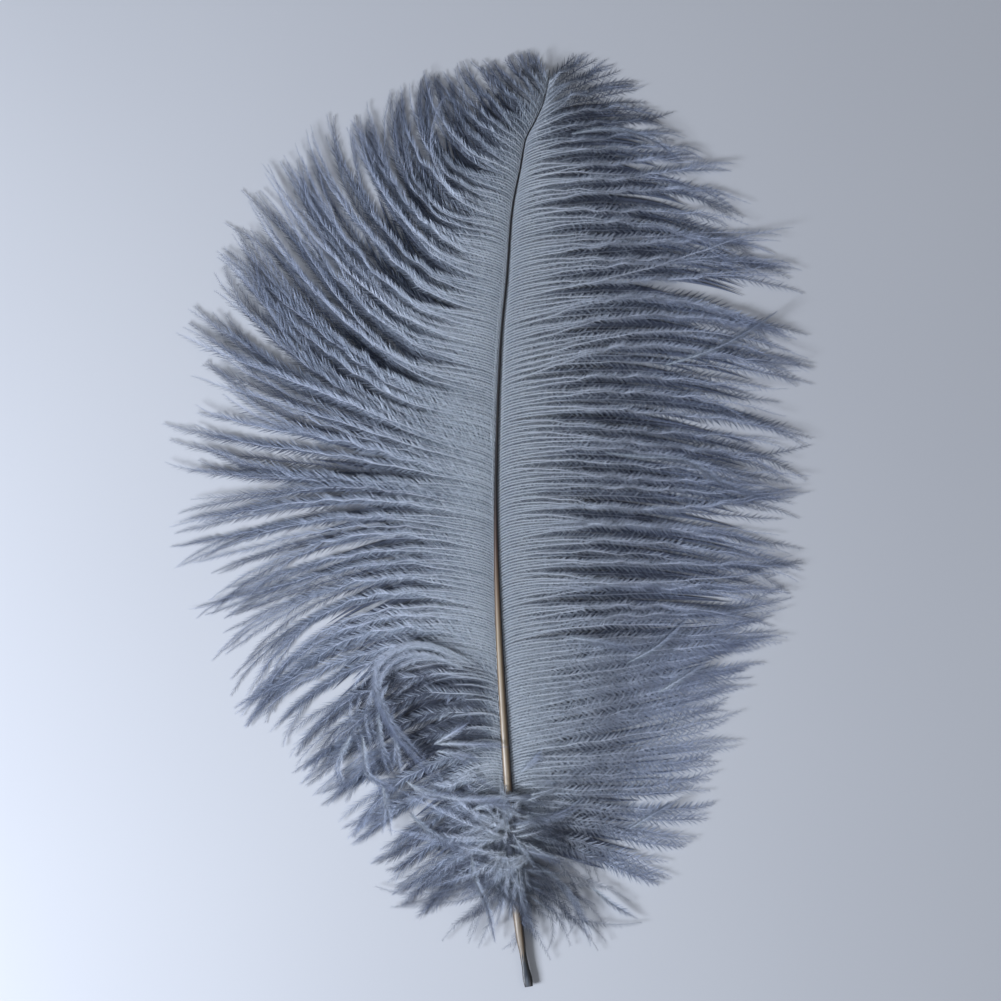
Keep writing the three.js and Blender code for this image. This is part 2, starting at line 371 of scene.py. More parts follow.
def shade_hollow(barbs):
    """Darkens the left vane's barbs inside the curl, apart from a few bold ones."""
    bold = np.arange(len(barbs.at)) % 6 == 0
    inside = smoothstep(0.02, 0.12, SHARE) * (1 - smoothstep(0.5, 0.68, SHARE))
    darker = hollow(barbs.at) * np.where(bold, 0.15, 0.85)
    barbs.tone = np.clip(barbs.tone - darker[:, None] * inside, 0, 1)
    barbs.bare += hollow(barbs.at) * np.where(bold, 0.2, -0.45)


def curled_barbs():
    """The barbs that curl back over the left vane, one inside the next, the inner ones thinned out."""
    at = spread(CURL_GUIDES, CURL_SPACING)
    at = at[(at > INNER_CURL) | (np.arange(len(at)) % 4 == 0)]
    count = len(at)
    drift = 2 * wander(at, 0.012, 71) + RANDOM.normal(0, 1.2, count)
    reach = 1 + RANDOM.normal(0, 0.05, count)
    line, length = grow(at, -1, CURL_GUIDES, drift, longer=reach, curl=RANDOM.normal(0, 8, count))
    lift = RANDOM.uniform(1.2, 3.4, count)[:, None] * MM * smoothstep(0.04, 0.3, SHARE)
    lay_down(line, lift + crinkle(line, length, 0.25, 0.25))
    outer = smoothstep(0.318, 0.336, at)
    tone = 0.75 + 0.15 * outer + RANDOM.normal(0, 0.06, count)
    return finish_barbs(line, length, tone, 0.5 + 0.4 * outer, 0.25)


def some(barbs, chosen):
    """A subset of the barbs."""
    return SimpleNamespace(**{key: value[chosen] for key, value in vars(barbs).items()})


# ---- Mesh arrays ------------------------------------------------------------------------------
# A barb or barbule carries its colour in the map OFBake: across is the share of the barb's length,
# and up is its tone. Barbules use the lower half of the map and barb middles the upper half.
MAP_NAME = "OFBake"
BARBULE_TONES, MIDDLE_TONES = (0.02, 0.46), (0.54, 0.98)
ROD_PAINTED_SHADING = np.array([-0.04, -0.04, 0.06])            # painted shade on its two lower edges and a painted highlight on its back, added to its tone
SLIVER_PAINTED_SHADING = np.array([-0.14, -0.12, 0.18, 0.03])   # the same for a sliver's root corners, tip and belly: painted shade at its root, painted highlights on its tip and belly
SLIVER_ACROSS = np.array([0, 0.004, 0.008, 0.004])
SLIVER_FACES = np.array([[0, 2, 1], [0, 1, 3], [1, 2, 3], [2, 0, 3]])
BARE_ROOT = 0.012                                     # share of a barb that carries no barbules
RAISED_TILT, FLAT_TILT = 0.24, 0.02                   # how steeply those on its right and left stand up
CLING_TURN = 12                                       # degrees that clinging barbules turn together
TIP_SWEEP = 0.12                                      # share of its length that a tip sweeps on
BELLY_AT, BELLY_RISE = 0.42, 0.09 * MM                # where a sliver is thickest, and by how much
ROD_LOWEST, SLIVER_LOWEST = 0.05 * MM, 0.03 * MM      # how close to the table they may come


def tones(tone, span):
    """Where tones from 0, dark, to 1, pale, lie in the map."""
    low, high = span
    return low + np.clip(tone, 0, 1) * (high - low)


def rods(barbs, widths, heights, span=MIDDLE_TONES, along=((0, 0), (1, 0))):
    """A tapering three-sided rod along each barb, closed at both ends. Widths and heights are in mm, and
    along is what is added to its tone from root to tip."""
    count, steps = len(barbs.length), STEPS + 1
    wide = np.interp(SHARE, *zip(*widths))[None, :, None] * MM / 2
    tall = np.interp(SHARE, *zip(*heights))[None, :, None] * MM / 2
    right = barbs.right * wide
    ring = np.stack([barbs.line + right - UP * tall, barbs.line - right - UP * tall,
                     barbs.line + UP * tall], 2)
    ring[..., 2] = np.maximum(ring[..., 2], ROD_LOWEST)
    corners = ring.reshape(-1, 3)

    first = (np.arange(count) * steps * 3)[:, None, None] + (np.arange(steps - 1) * 3)[None, :, None]
    turn, turned = np.arange(3), (np.arange(3) + 1) % 3
    a, b, c, d = first + turn, first + turned, first + 3 + turned, first + 3 + turn
    sides = np.concatenate([np.stack([a, b, c], -1).reshape(-1, 3),
                            np.stack([a, c, d], -1).reshape(-1, 3)])
    start = np.arange(count)[:, None] * steps * 3
    end = start + (steps - 1) * 3
    faces = np.concatenate([sides, start + [2, 1, 0], end + [0, 1, 2]])

    tone = (barbs.tone + barbs.bare[:, None] + np.interp(SHARE, *zip(*along)))[:, :, None]
    # painted shade on the rod's lower edges and a painted highlight on its back
    high = tones(tone + ROD_PAINTED_SHADING, span)
    across = np.broadcast_to(SHARE[None, :, None], (count, steps, 3))
    places = np.stack([across, high], -1).reshape(-1, 2)
    return corners, faces, places


def barbules(barbs, spacing, lengths, width, angles, cling=0.0):
    """The fine branches on both sides of each barb, as thin closed slivers. Those on its right-hand side
    stand up a little and carry a painted highlight that makes them paler. angles is their slant from the
    barb, from its root to its tip, and cling is how closely their tips come together in threes."""
    parts = []
    for flank in (1, -1):
        # Where each springs from its barb.
        number = np.maximum((barbs.length * (1 - BARE_ROOT) / spacing).astype(int), 1)
        owner = np.repeat(np.arange(len(number)), number)
        order = np.arange(len(owner)) - np.repeat(np.cumsum(number) - number, number)
        place = (order + RANDOM.uniform(0.2, 0.8, len(owner))) / number[owner]
        share = BARE_ROOT + (1 - BARE_ROOT) * place
        share = np.minimum(share, 0.999)
        step = np.clip(np.searchsorted(SHARE, share, side="right") - 1, 0, STEPS - 1)
        mix = ((share - SHARE[step]) / (SHARE[step + 1] - SHARE[step]))[:, None]
        root = barbs.line[owner, step] * (1 - mix) + barbs.line[owner, step + 1] * mix
        forward = barbs.forward[owner, step]
        aside = flank * barbs.right[owner, step]

        # Its length, and the way it points.
        size = np.interp(share, *zip(*lengths)) * MM * barbs.fluff[owner]
        size = size * RANDOM.uniform(0.8, 1.15, len(owner))
        slant = np.interp(share, *zip(*angles)) + RANDOM.normal(0, 5, len(owner))
        member = cling * (order % 3 - 1) * smoothstep(0.1, 0.3, share)
        slant += CLING_TURN * member
        lean = np.radians(slant + RANDOM.normal(0, 4, len(number))[owner])[:, None]
        tilt = (RAISED_TILT if flank > 0 else FLAT_TILT) + RANDOM.normal(0, 0.08, len(owner))
        tilt = np.maximum(tilt, (0.12 * MM - root[:, 2]) / size)[:, None]
        away = forward * np.cos(lean) + aside * np.sin(lean)
        away[:, 2] = 0
        size = size[:, None]

        # Four corners: two at its root, its tip, and a belly over them. The faces turn outwards.
        tip = root + (unit(away) + tilt * UP) * size + forward * size * TIP_SWEEP
        half = forward * (width * MM / 2) * RANDOM.uniform(0.75, 1.2, (len(owner), 1))
        half = half * np.interp(share, (0, 0.6, 1), (1, 1, 0.4))[:, None]
        belly = root + (unit(away) + tilt * UP) * size * BELLY_AT + UP * BELLY_RISE
        corners = np.stack([root - half, root + half, tip, belly], 1)
        volume = np.einsum("ij,ij->i", np.cross(corners[:, 1] - corners[:, 0],
                                               corners[:, 2] - corners[:, 0]),
                           corners[:, 3] - corners[:, 0])
        turned = volume < 0
        corners[turned, :2] = corners[turned, 1::-1]
        corners[:, :, 2] = np.maximum(corners[:, :, 2], SLIVER_LOWEST)
        faces = np.arange(len(owner))[:, None, None] * 4 + SLIVER_FACES

        # Its colour: those on the right-hand side paler, a painted highlight, and the middle of three that
        # cling paler too.
        tone = barbs.tone[owner, step] + RANDOM.normal(0, 0.15, len(owner)) + 0.11 * flank
        tone += 0.1 * cling - 0.16 * np.abs(member)
        # painted shade at each sliver's root, painted highlights on its tip and belly
        high = tones(tone[:, None] + SLIVER_PAINTED_SHADING, BARBULE_TONES)
        across = share[:, None] + SLIVER_ACROSS
        places = np.stack([np.minimum(across, 1), high], -1)
        parts.append((corners.reshape(-1, 3), faces.reshape(-1, 3), places.reshape(-1, 2)))
    return joined(parts)


def joined(parts):
    """Several sets of mesh arrays as one."""
    starts = np.cumsum([0] + [len(corners) for corners, _, _ in parts])
    return (np.concatenate([corners for corners, _, _ in parts]),
            np.concatenate([faces + start for start, (_, faces, _) in zip(starts, parts)]),
            np.concatenate([places for _, _, places in parts]))


def piece_from_arrays(name, smooth_part, flat_part, material):
    """One object from the rods, which are shaded smooth, and the slivers, which aren't."""
    corners, faces, places = joined([smooth_part, flat_part])
    mesh = bpy.data.meshes.new(name)
    mesh.vertices.add(len(corners))
    mesh.vertices.foreach_set("co", corners.astype(np.float32).ravel())
    mesh.loops.add(faces.size)
    mesh.loops.foreach_set("vertex_index", faces.astype(np.int32).ravel())
    mesh.polygons.add(len(faces))
    mesh.polygons.foreach_set("loop_start", np.arange(0, faces.size, 3, dtype=np.int32))
    is_smooth = np.arange(len(faces)) < len(smooth_part[1])
    mesh.polygons.foreach_set("use_smooth", is_smooth)
    own_map = mesh.uv_layers.new(name=MAP_NAME)
    own_map.data.foreach_set("uv", places[faces.ravel()].astype(np.float32).ravel())
    mesh.update(calc_edges=True)
    mesh.validate()
    mesh.materials.append(material)
    piece = bpy.data.objects.new(name, mesh)
    bpy.context.scene.collection.objects.link(piece)
    return piece


# ---- Materials --------------------------------------------------------------------------------
def linear(code):
    """An sRGB hex colour as linear RGBA."""
    channels = [int(code[k:k + 2], 16) / 255 for k in (1, 3, 5)]
    return [c / 12.92 if c <= 0.04045 else ((c + 0.055) / 1.055) ** 2.4 for c in channels] + [1.0]


def add_node(tree, kind, settings=None, inputs=None, ramp=None):
    """Adds a node with its settings, its input values or links, and a ramp's colour stops."""
    node = tree.nodes.new(kind)
    for key, value in (settings or {}).items():
        setattr(node, key, value)
    for key, value in (inputs or {}).items():
        if isinstance(value, bpy.types.NodeSocket):
            tree.links.new(value, node.inputs[key])
        else:
            node.inputs[key].default_value = value
    if ramp:
        stops = node.color_ramp.elements
        while len(stops) < len(ramp):
            stops.new(0.5)
        for stop, (place, colour) in zip(stops, ramp):
            stop.position = place
            stop.color = linear(colour)
    return node


def new_material(name, **values):
    """A material with its Principled shader, whose plain values are set on its own sockets."""
    material = bpy.data.materials.new(name)
    material.use_nodes = True
    tree = material.node_tree
    shader = next(node for node in tree.nodes if node.type == "BSDF_PRINCIPLED")
    for key, value in values.items():
        shader.inputs[key.replace("_", " ")].default_value = value
    return material, tree, shader


def dyed_down():
    """Acid-dyed ostrich down: keratin barbs, matt with a faint silver bloom at grazing angles. The tones in
    its map carry painted shade, darker at the barbules' roots and the barbs' lower edges, and painted
    highlights, paler on the barbs' backs."""
    material, tree, shader = new_material(
        "acid_dyed_ostrich_down", Roughness=0.72, IOR=1.54, Sheen_Weight=0.35, Sheen_Roughness=0.45)
    own_map = add_node(tree, "ShaderNodeUVMap", {"uv_map": MAP_NAME})
    parts = add_node(tree, "ShaderNodeSeparateXYZ", inputs={"Vector": own_map.outputs["UV"]})
    tone = add_node(tree, "ShaderNodeValToRGB", inputs={"Fac": parts.outputs["Y"]}, ramp=(
        (0.00, "#3e4452"), (0.14, "#5f6777"), (0.26, "#87929f"), (0.38, "#b2bdc9"), (0.49, "#dbe2ea"),
        (0.52, "#535b69"), (0.70, "#808998"), (0.84, "#a6afbd"), (0.99, "#d8dee7")))
    along = add_node(tree, "ShaderNodeValToRGB", inputs={"Fac": parts.outputs["X"]}, ramp=(
        (0.00, "#f4f5f4"), (0.10, "#fffffd"), (0.45, "#f5f5fb"), (0.80, "#e2e5f3"), (1.00, "#c9cee2")))
    colour = add_node(tree, "ShaderNodeMix", {"data_type": "RGBA", "blend_type": "MULTIPLY"},
                      {"Factor": 1.0, "A": tone.outputs["Color"], "B": along.outputs["Color"]})
    tree.links.new(colour.outputs["Result"], shader.inputs["Base Color"])
    return material


def web_skin():
    """The dyed web beside the shaft: barb roots grown together, smooth and softly satin, greyer than the
    barbs and faintly streaked."""
    material, tree, shader = new_material("acid_dyed_barb_web", Roughness=0.6, IOR=1.54)
    place = add_node(tree, "ShaderNodeTexCoord")
    stretched = add_node(tree, "ShaderNodeMapping", inputs={
        "Vector": place.outputs["Object"], "Scale": (1 / (0.6 * MM), 1 / (6 * MM), 1 / (0.6 * MM))})
    streaks = add_node(tree, "ShaderNodeTexNoise",
                       inputs={"Vector": stretched.outputs["Vector"], "Scale": 1.0, "Detail": 3.0})
    colour = add_node(tree, "ShaderNodeValToRGB", inputs={"Fac": streaks.outputs["Fac"]},
                      ramp=((0.3, "#858d94"), (0.7, "#a3aab0")))
    tree.links.new(colour.outputs["Color"], shader.inputs["Base Color"])
    return material


def horn():
    """Quill horn, grown and left bare: tan and slightly glossy at the quill, brown and then near black
    up the shaft where the dye took, and dull slate at the dried end. Growth streaks run along it. Across
    it, a painted highlight runs just left of its middle, and painted shade darkens its edges, the right one
    to near black."""
    material, tree, shader = new_material("dyed_quill_horn", IOR=1.54, Coat_Weight=0.12,
                                          Coat_Roughness=0.3)
    own_map = add_node(tree, "ShaderNodeUVMap", {"uv_map": MAP_NAME})
    parts = add_node(tree, "ShaderNodeSeparateXYZ", inputs={"Vector": own_map.outputs["UV"]})
    place = add_node(tree, "ShaderNodeTexCoord")
    stretched = add_node(tree, "ShaderNodeMapping", inputs={
        "Vector": place.outputs["Object"], "Scale": (1 / (0.5 * MM), 1 / (14 * MM), 1 / (0.5 * MM))})
    streaks = add_node(tree, "ShaderNodeTexNoise",
                       inputs={"Vector": stretched.outputs["Vector"], "Scale": 1.0, "Detail": 4.0})
    shift = add_node(tree, "ShaderNodeMapRange", inputs={
        "Value": streaks.outputs["Fac"], "From Min": 0.3, "From Max": 0.7, "To Min": -0.012,
        "To Max": 0.012})
    along = add_node(tree, "ShaderNodeMath", {"operation": "ADD"},
                     {0: parts.outputs["X"], 1: shift.outputs["Result"]})
    base = add_node(tree, "ShaderNodeValToRGB", inputs={"Fac": along.outputs["Value"]}, ramp=(
        (0.00, "#7a8088"), (0.010, "#39404a"), (0.030, "#4a5055"), (0.038, "#93887a"),
        (0.10, "#b3a693"), (0.38, "#aa9a82"), (0.43, "#8c7763"), (0.48, "#5a453a"), (0.54, "#262122"),
        (1.00, "#1d1e22")))
    grain = add_node(tree, "ShaderNodeMapRange", inputs={
        "Value": streaks.outputs["Fac"], "From Min": 0.25, "From Max": 0.75, "To Min": 0.72,
        "To Max": 1.12})
    colour = add_node(tree, "ShaderNodeMix", {"data_type": "RGBA", "blend_type": "MULTIPLY"},
                      {"Factor": 1.0, "A": base.outputs["Color"], "B": grain.outputs["Result"]})
    # Painted light across the shaft: a painted highlight just left of its middle, and painted shade on both
    # edges, darkest on the right.
    sides = add_node(tree, "ShaderNodeValToRGB", inputs={"Fac": parts.outputs["Y"]}, ramp=(
        (0.0, "#85766a"), (0.2, "#efe8de"), (0.45, "#ffffff"), (0.68, "#dccfc0"), (0.84, "#8b7867"),
        (0.93, "#2c2420"), (1.0, "#1a1512")))
    shaded = add_node(tree, "ShaderNodeMix", {"data_type": "RGBA", "blend_type": "MULTIPLY"},
                      {"Factor": 1.0, "A": colour.outputs["Result"], "B": sides.outputs["Color"]})
    tree.links.new(shaded.outputs["Result"], shader.inputs["Base Color"])
    rough = add_node(tree, "ShaderNodeMapRange", inputs={
        "Value": streaks.outputs["Fac"], "From Min": 0.3, "From Max": 0.7, "To Min": 0.34,
        "To Max": 0.52})
    tree.links.new(rough.outputs["Result"], shader.inputs["Roughness"])
    bump = add_node(tree, "ShaderNodeBump", inputs={
        "Strength": 0.35, "Distance": 0.15 * MM, "Height": streaks.outputs["Fac"]})
    tree.links.new(bump.outputs["Normal"], shader.inputs["Normal"])
    return material


def table_paint():
    """Matt pale laminate, rolled flat: cool white, with nothing to see but the light on it."""
    material, tree, shader = new_material("pale_matt_laminate", Roughness=0.7, IOR=1.45)
    place = add_node(tree, "ShaderNodeTexCoord")
    cloud = add_node(tree, "ShaderNodeTexNoise",
                     inputs={"Vector": place.outputs["Object"], "Scale": 3.0, "Detail": 2.0})
    colour = add_node(tree, "ShaderNodeValToRGB", inputs={"Fac": cloud.outputs["Fac"]},
                      ramp=((0.3, "#d3d5d9"), (0.7, "#d9dbde")))
    tree.links.new(colour.outputs["Color"], shader.inputs["Base Color"])
    return material


# ---- The shaft --------------------------------------------------------------------------------
SHAFT_SIDES, SHAFT_STEPS = 18, 220
SHAFT_WIDTHS = ((0, 3.5), (0.008, 3.9), (0.018, 2.9), (0.038, 2.9), (0.05, 3.4), (0.085, 4.2),
                (0.13, 4.0), (0.35, 3.1), (0.45, 2.3), (0.52, 1.5), (0.6, 1.05), (0.8, 0.75),
                (0.97, 0.45), (1, 0.25))
SHAFT_HEIGHTS = ((0, 1.2), (0.02, 1.8), (0.05, 3.0), (0.085, 4.0), (0.13, 4.0), (0.35, 3.5),
                 (0.45, 2.8), (0.6, 2.1), (0.8, 1.4), (0.97, 0.9), (1, 0.3))


def make_shaft(material):
    """Quill and shaft in one: a ring extruded along the line, wider and narrower as it goes."""
    ups = np.linspace(0, 1, SHAFT_STEPS + 1)
    points = shaft_point(ups)
    headings = np.radians(shaft_heading(ups))
    widths = np.interp(ups, *zip(*SHAFT_WIDTHS)) * MM / 2
    heights = np.interp(ups, *zip(*SHAFT_HEIGHTS)) * MM / 2
    crushed = smoothstep(0.085, 0.0, ups)       # the dried end, which has shrunk unevenly
    widths *= 1 + 0.10 * crushed * wander(ups, 0.008, 5)

    def ring_place(k):
        """Where the unit ring goes at a step."""
        point = Vector(points[k])
        point.z = max(point.z, heights[k] + ROD_LOWEST)
        turn = Matrix.Rotation(-headings[k], 4, "Z") @ Matrix.Rotation(math.pi / 2, 4, "X")
        return Matrix.Translation(point) @ turn @ Matrix.Diagonal((widths[k], heights[k], 1, 1))

    mesh_data = bmesh.new()
    own_map = mesh_data.loops.layers.uv.new(MAP_NAME)
    step_of = mesh_data.verts.layers.int.new("step")
    ring = bmesh.ops.create_circle(mesh_data, segments=SHAFT_SIDES, radius=1)["verts"]
    bmesh.ops.transform(mesh_data, matrix=ring_place(0), verts=ring)
    edges = list(mesh_data.edges)
    for k in range(1, SHAFT_STEPS + 1):
        made = bmesh.ops.extrude_edge_only(mesh_data, edges=edges)["geom"]
        ring = [item for item in made if isinstance(item, bmesh.types.BMVert)]
        edges = [item for item in made if isinstance(item, bmesh.types.BMEdge)]
        for corner in ring:
            corner[step_of] = k
        bmesh.ops.transform(mesh_data, matrix=ring_place(k) @ ring_place(k - 1).inverted(), verts=ring)
    bmesh.ops.holes_fill(mesh_data, edges=mesh_data.edges[:], sides=SHAFT_SIDES)
    bmesh.ops.recalc_face_normals(mesh_data, faces=mesh_data.faces[:])
    for face in mesh_data.faces:
        face.smooth = len(face.verts) == 4
        for loop in face.loops:
            k = loop.vert[step_of]
            out = Vector((math.cos(headings[k]), -math.sin(headings[k]), 0))
            across = (loop.vert.co - Vector(points[k])).dot(out) / (2 * widths[k]) + 0.5
            loop[own_map].uv = (k / SHAFT_STEPS, min(max(across, 0), 1))
    mesh = bpy.data.meshes.new("shaft")
    mesh_data.to_mesh(mesh)
    mesh_data.free()
    mesh.materials.append(material)
    piece = bpy.data.objects.new("shaft", mesh)
    bpy.context.scene.collection.objects.link(piece)
    return piece


# ---- The down at the base ---------------------------------------------------------------------
DOWN_STRANDS, DOWN_TUFTS = 236, 60
DOWN_FROM, DOWN_TO = 0.118, 0.215                          # where it springs from the shaft
LEFT_DOWN, RIGHT_DOWN = (80, 190), (70, 168)               # its headings on either side
# Tones of the raised tufts, painted pale as lit, and of the low ones, painted dark as shade.
PAINTED_LIT_TUFT, PAINTED_SHADED_TUFT = 0.92, 0.24


def base_down():
    """Soft tufts that spring from both sides of the quill's top and over it, each its own way: low ones
    painted dark, as shade, and raised ones over them painted pale, as lit."""
    count, tufts = DOWN_STRANDS, DOWN_TUFTS
    tuft = np.sort(RANDOM.integers(0, tufts, count))
    upper = np.arange(tufts) % 3 == 0
    tuft_side = RANDOM.choice([-1, 1], tufts, p=[0.58, 0.42])
    to_left, to_right = RANDOM.uniform(*LEFT_DOWN, tufts), RANDOM.uniform(*RIGHT_DOWN, tufts)
    tuft_heading = np.where(tuft_side < 0, to_left, to_right)
    at = RANDOM.uniform(DOWN_FROM, DOWN_TO, tufts)[tuft] + RANDOM.normal(0, 0.004, count)
    side = tuft_side[tuft]
    start = np.radians(tuft_heading[tuft] + RANDOM.normal(0, 16, count))
    turn = np.radians(RANDOM.normal(0, 46, tufts)[tuft] + RANDOM.normal(0, 28, count))
    length = RANDOM.uniform(28, 52, tufts)[tuft] * RANDOM.uniform(0.6, 1.15, count) * MM
    length *= 1 - 0.4 * smoothstep(130, 180, tuft_heading)[tuft]      # shorter towards the quill's end
    heading = side[:, None] * (start[:, None] + np.outer(turn, SHARE ** 1.3))
    line = run_out(shaft_point(at), heading, length)
    spot = RANDOM.normal((-1, 0), (4.5, 3), (tufts, 2))[tuft] + RANDOM.normal(0, 1.5, (count, 2))
    line[:, :, :2] += spot[:, None] * MM
    rise = RANDOM.uniform(0.5, 2, tufts) + 2.2 * upper
    lift = rise[tuft][:, None] * MM * np.sin(np.pi * SHARE ** 0.8)
    lift = lift + 1.8 * MM * smoothstep(0, 0.1, SHARE)
    lay_down(line, lift, arch=DOWN_ARCH)
    tone = np.where(upper, PAINTED_LIT_TUFT, PAINTED_SHADED_TUFT) + RANDOM.normal(0, 0.1, tufts)
    return finish_barbs(line, length, tone[tuft] + RANDOM.normal(0, 0.08, count), bare=0.3)


# ---- Barbs that lie their own way -------------------------------------------------------------
# Each is a list of points in mm (x, y, height), from where it shows to its tip, then its tone.
LOOSE_BARBS = (
    # the big curl low on the left vane, and the broken ends inside it
    (((-2.2, -61.8, 6), (-11.2, -55.8, 8.5), (-27.2, -50.8, 9.5), (-38.2, -52.8, 9.5),
      (-45.2, -58.8, 9.5), (-46.6, -69.5, 9.5), (-43.9, -75.8, 9.5), (-37.7, -87.4, 9),
      (-28.2, -98.8, 8), (-21.2, -106.3, 6)), 1.0),
    (((-2.4, -62.6, 6), (-12.2, -56.8, 8.5), (-27.2, -51.8, 9.5), (-37.7, -53.8, 9.5),
      (-44.4, -59.8, 9.5), (-45.8, -69.5, 9.5), (-43.0, -76.0, 9.5), (-36.7, -87.6, 9),
      (-27.2, -98.9, 8), (-19.2, -107.3, 6)), 0.95),
    (((-3.2, -64.8, 6), (-14.2, -58.8, 8.5), (-27.2, -54.8, 9.5), (-37.2, -56.8, 9.5),
      (-43.2, -63.8, 9.5), (-44.2, -72.8, 9), (-38.2, -82.8, 8.5), (-31.2, -90.8, 8),
      (-24.2, -97.8, 6)), 0.9),
    (((-22.2, -92.1, 6), (-17.2, -88.8, 7.5), (-12.2, -85.8, 8.5), (-8.7, -83.4, 9)), 1.0),
    (((-21.2, -91.8, 7), (-14.2, -91.4, 8.5), (-4.2, -91.6, 9.5), (5.8, -91.2, 9.5)), 0.95),
    (((-21.2, -94.8, 7), (-15.2, -95, 8), (-9.2, -96.4, 8.5), (-3.7, -98.2, 8)), 1.0),
    (((-51.2, -103.8, 3), (-45.2, -108.3, 4), (-38.2, -111.1, 4.5)), 0.95),
    (((-32.0, -108.9, 5), (-16.4, -113.7, 8), (-0.3, -114.5, 10), (16.9, -113.7, 9)), 1.0),
    (((-43.1, -108.1, 5), (-42.2, -119.2, 6), (-43.1, -128.7, 4)), 0.95),
    (((-6.7, -134.8, 8), (-5.3, -145.9, 8), (-0.3, -158.6, 6), (2.8, -173.0, 3)), 1.0),
    (((42.3, -150.8, 4), (51.7, -158.6, 3), (59.6, -163.2, 2)), 0.95),
    (((8.7, -132.4, 9), (20.2, -136.5, 9), (29.6, -140.1, 7)), 1.0),
    (((-8.2, -119.3, 8), (-1.2, -116.8, 10), (7.8, -116.3, 10), (14.8, -119.8, 9)), 0.9),
    (((-20.2, -82.8, 6), (-17.2, -76.8, 6.5), (-15.7, -70.8, 6.5)), 0.8),
    (((-44.8, -78.3, 9), (-43.6, -94.1, 7), (-40.6, -103.8, 6)), 0.9),
    (((-37.6, -84.3, 9), (-37.0, -94.1, 8), (-35.7, -103.8, 6)), 0.95),
    (((-56.0, -88.3, 4), (-62.4, -101.3, 3), (-61.2, -108.5, 2)), 0.9),
    (((-51.3, -88.1, 6), (-49.1, -104.2, 5), (-38.8, -111.0, 5)), 0.95),
    (((-33.8, -106.8, 6), (-24.8, -113.5, 8), (-16.3, -114.7, 8)), 1.0),
    (((-11.2, -64.8, 6), (-9.7, -72.8, 7), (-6.7, -82.8, 7)), 0.78),
    # pale ones across the right vane
    (((31.8, -47.8, 8), (41.8, -49.3, 9), (53.8, -52.3, 9), (61.8, -54.8, 8)), 0.86),
    (((56.8, -58.8, 7), (68.8, -51.8, 8), (76.8, -44.8, 7.5), (82.8, -38.8, 6)), 0.72),
    (((46.8, 27.7, 8), (61.8, 25.7, 9.5), (80.8, 24.2, 9), (96.8, 15.2, 7), (120.8, 7.2, 4)), 0.76),
    (((71.8, 63.2, 6), (80.8, 65.7, 8), (95.8, 71.2, 8.5), (108.8, 78.7, 7), (118.4, 85.2, 6)), 0.76),
    (((33.8, 158.2, 5), (44.8, 159.7, 6), (57.8, 158.7, 6), (69.8, 154.2, 5), (78.8, 147.2, 4)), 0.81),
    (((69.8, -70.8, 6), (79.8, -64.8, 6.5), (91.8, -56.8, 5)), 0.86),
    (((12.8, -103.8, 7), (17.8, -99.8, 7.5), (22.8, -96.3, 7.5)), 0.86),
    (((0.8, -125.8, 7), (17.8, -123.8, 8), (30.8, -120.8, 8), (38.8, -116.8, 7.5)), 0.86),
    (((57.8, -126.8, 5), (67.8, -120.8, 5.5), (79.8, -113.8, 4.5)), 0.76),
    (((19.8, -140.8, 5), (29.8, -148.8, 5), (37.8, -159.8, 4), (42.8, -170.8, 2)), 0.81),
    (((-32.2, -119.8, 6), (-25.2, -126.8, 7), (-16.2, -132.8, 7), (-9.2, -136.8, 6)), 0.81),
)


LOOSE_POINTS = 200           # on each of these lines before it is cut at SHARE
COMPANION_SPREAD = 2.2       # mm, typically, between a barb's tip and its companion's


def loose_barbs():
    """Smooth lines through LOOSE_BARBS, each with a slightly darker companion beside it."""
    lines, lengths, tone = [], [], []
    for points, value in LOOSE_BARBS:
        smooth = even_line(points, LOOSE_POINTS) * MM
        places = np.linspace(0, 1, LOOSE_POINTS)
        long = np.linalg.norm(np.diff(smooth, axis=0), axis=1).sum()
        for shift in (0.0, 1.0):
            line = np.stack([np.interp(SHARE, places, column) for column in smooth.T], 1)
            line[:, :2] += shift * RANDOM.normal(0, COMPANION_SPREAD, 2) * MM * SHARE[:, None] ** 1.5
            lines.append(line)
            lengths.append(long)
            tone.append(value - 0.1 * shift)
    return finish_barbs(np.array(lines), np.array(lengths), np.array(tone))


# ---- Pieces -----------------------------------------------------------------------------------
# Widths, heights and lengths are in mm, and angles in degrees from the barb. Each runs from root to tip.
MIDDLE_WIDTHS = ((0, 0.4), (0.1, 0.44), (0.3, 0.4), (0.6, 0.38), (0.85, 0.26), (1, 0.06))
MIDDLE_HEIGHTS = ((0, 0.34), (0.1, 0.4), (0.5, 0.32), (0.85, 0.2), (1, 0.06))
MIDDLE_ALONG = ((0, 0.3), (0.08, 0.22), (0.2, 0.06), (0.4, 0.14), (0.8, 0.18), (1, 0.1))
UNDER_WIDTHS = ((0, 1.2), (0.1, 2.8), (0.5, 3.0), (0.8, 1.5), (1, 0.1))
UNDER_HEIGHTS = ((0, 0.3), (0.5, 0.35), (1, 0.1))
UNDER_TONES = ((0, 0.3), (0.06, 0.26), (0.2, 0.06), (0.7, 0), (1, 0.2))
BARBULE_LENGTHS = ((0, 1.0), (0.04, 1.4), (0.12, 2.4), (0.4, 3.8), (0.7, 3.9), (0.9, 3.2), (1, 1.0))
DOWN_MIDDLE = ((0, 0.26), (1, 0.06))
DOWN_LENGTHS = ((0, 1.6), (0.6, 3.2), (1, 1.2))
DOWN_ANGLES = ((0, 46), (1, 36))
LOOSE_MIDDLE = ((0, 0.05), (0.15, 0.3), (0.6, 0.3), (1, 0.06))
LOOSE_LENGTHS = ((0, 0.6), (0.2, 2.4), (0.7, 3.0), (1, 1.0))
LOOSE_ANGLES = ((0, 44), (1, 34))


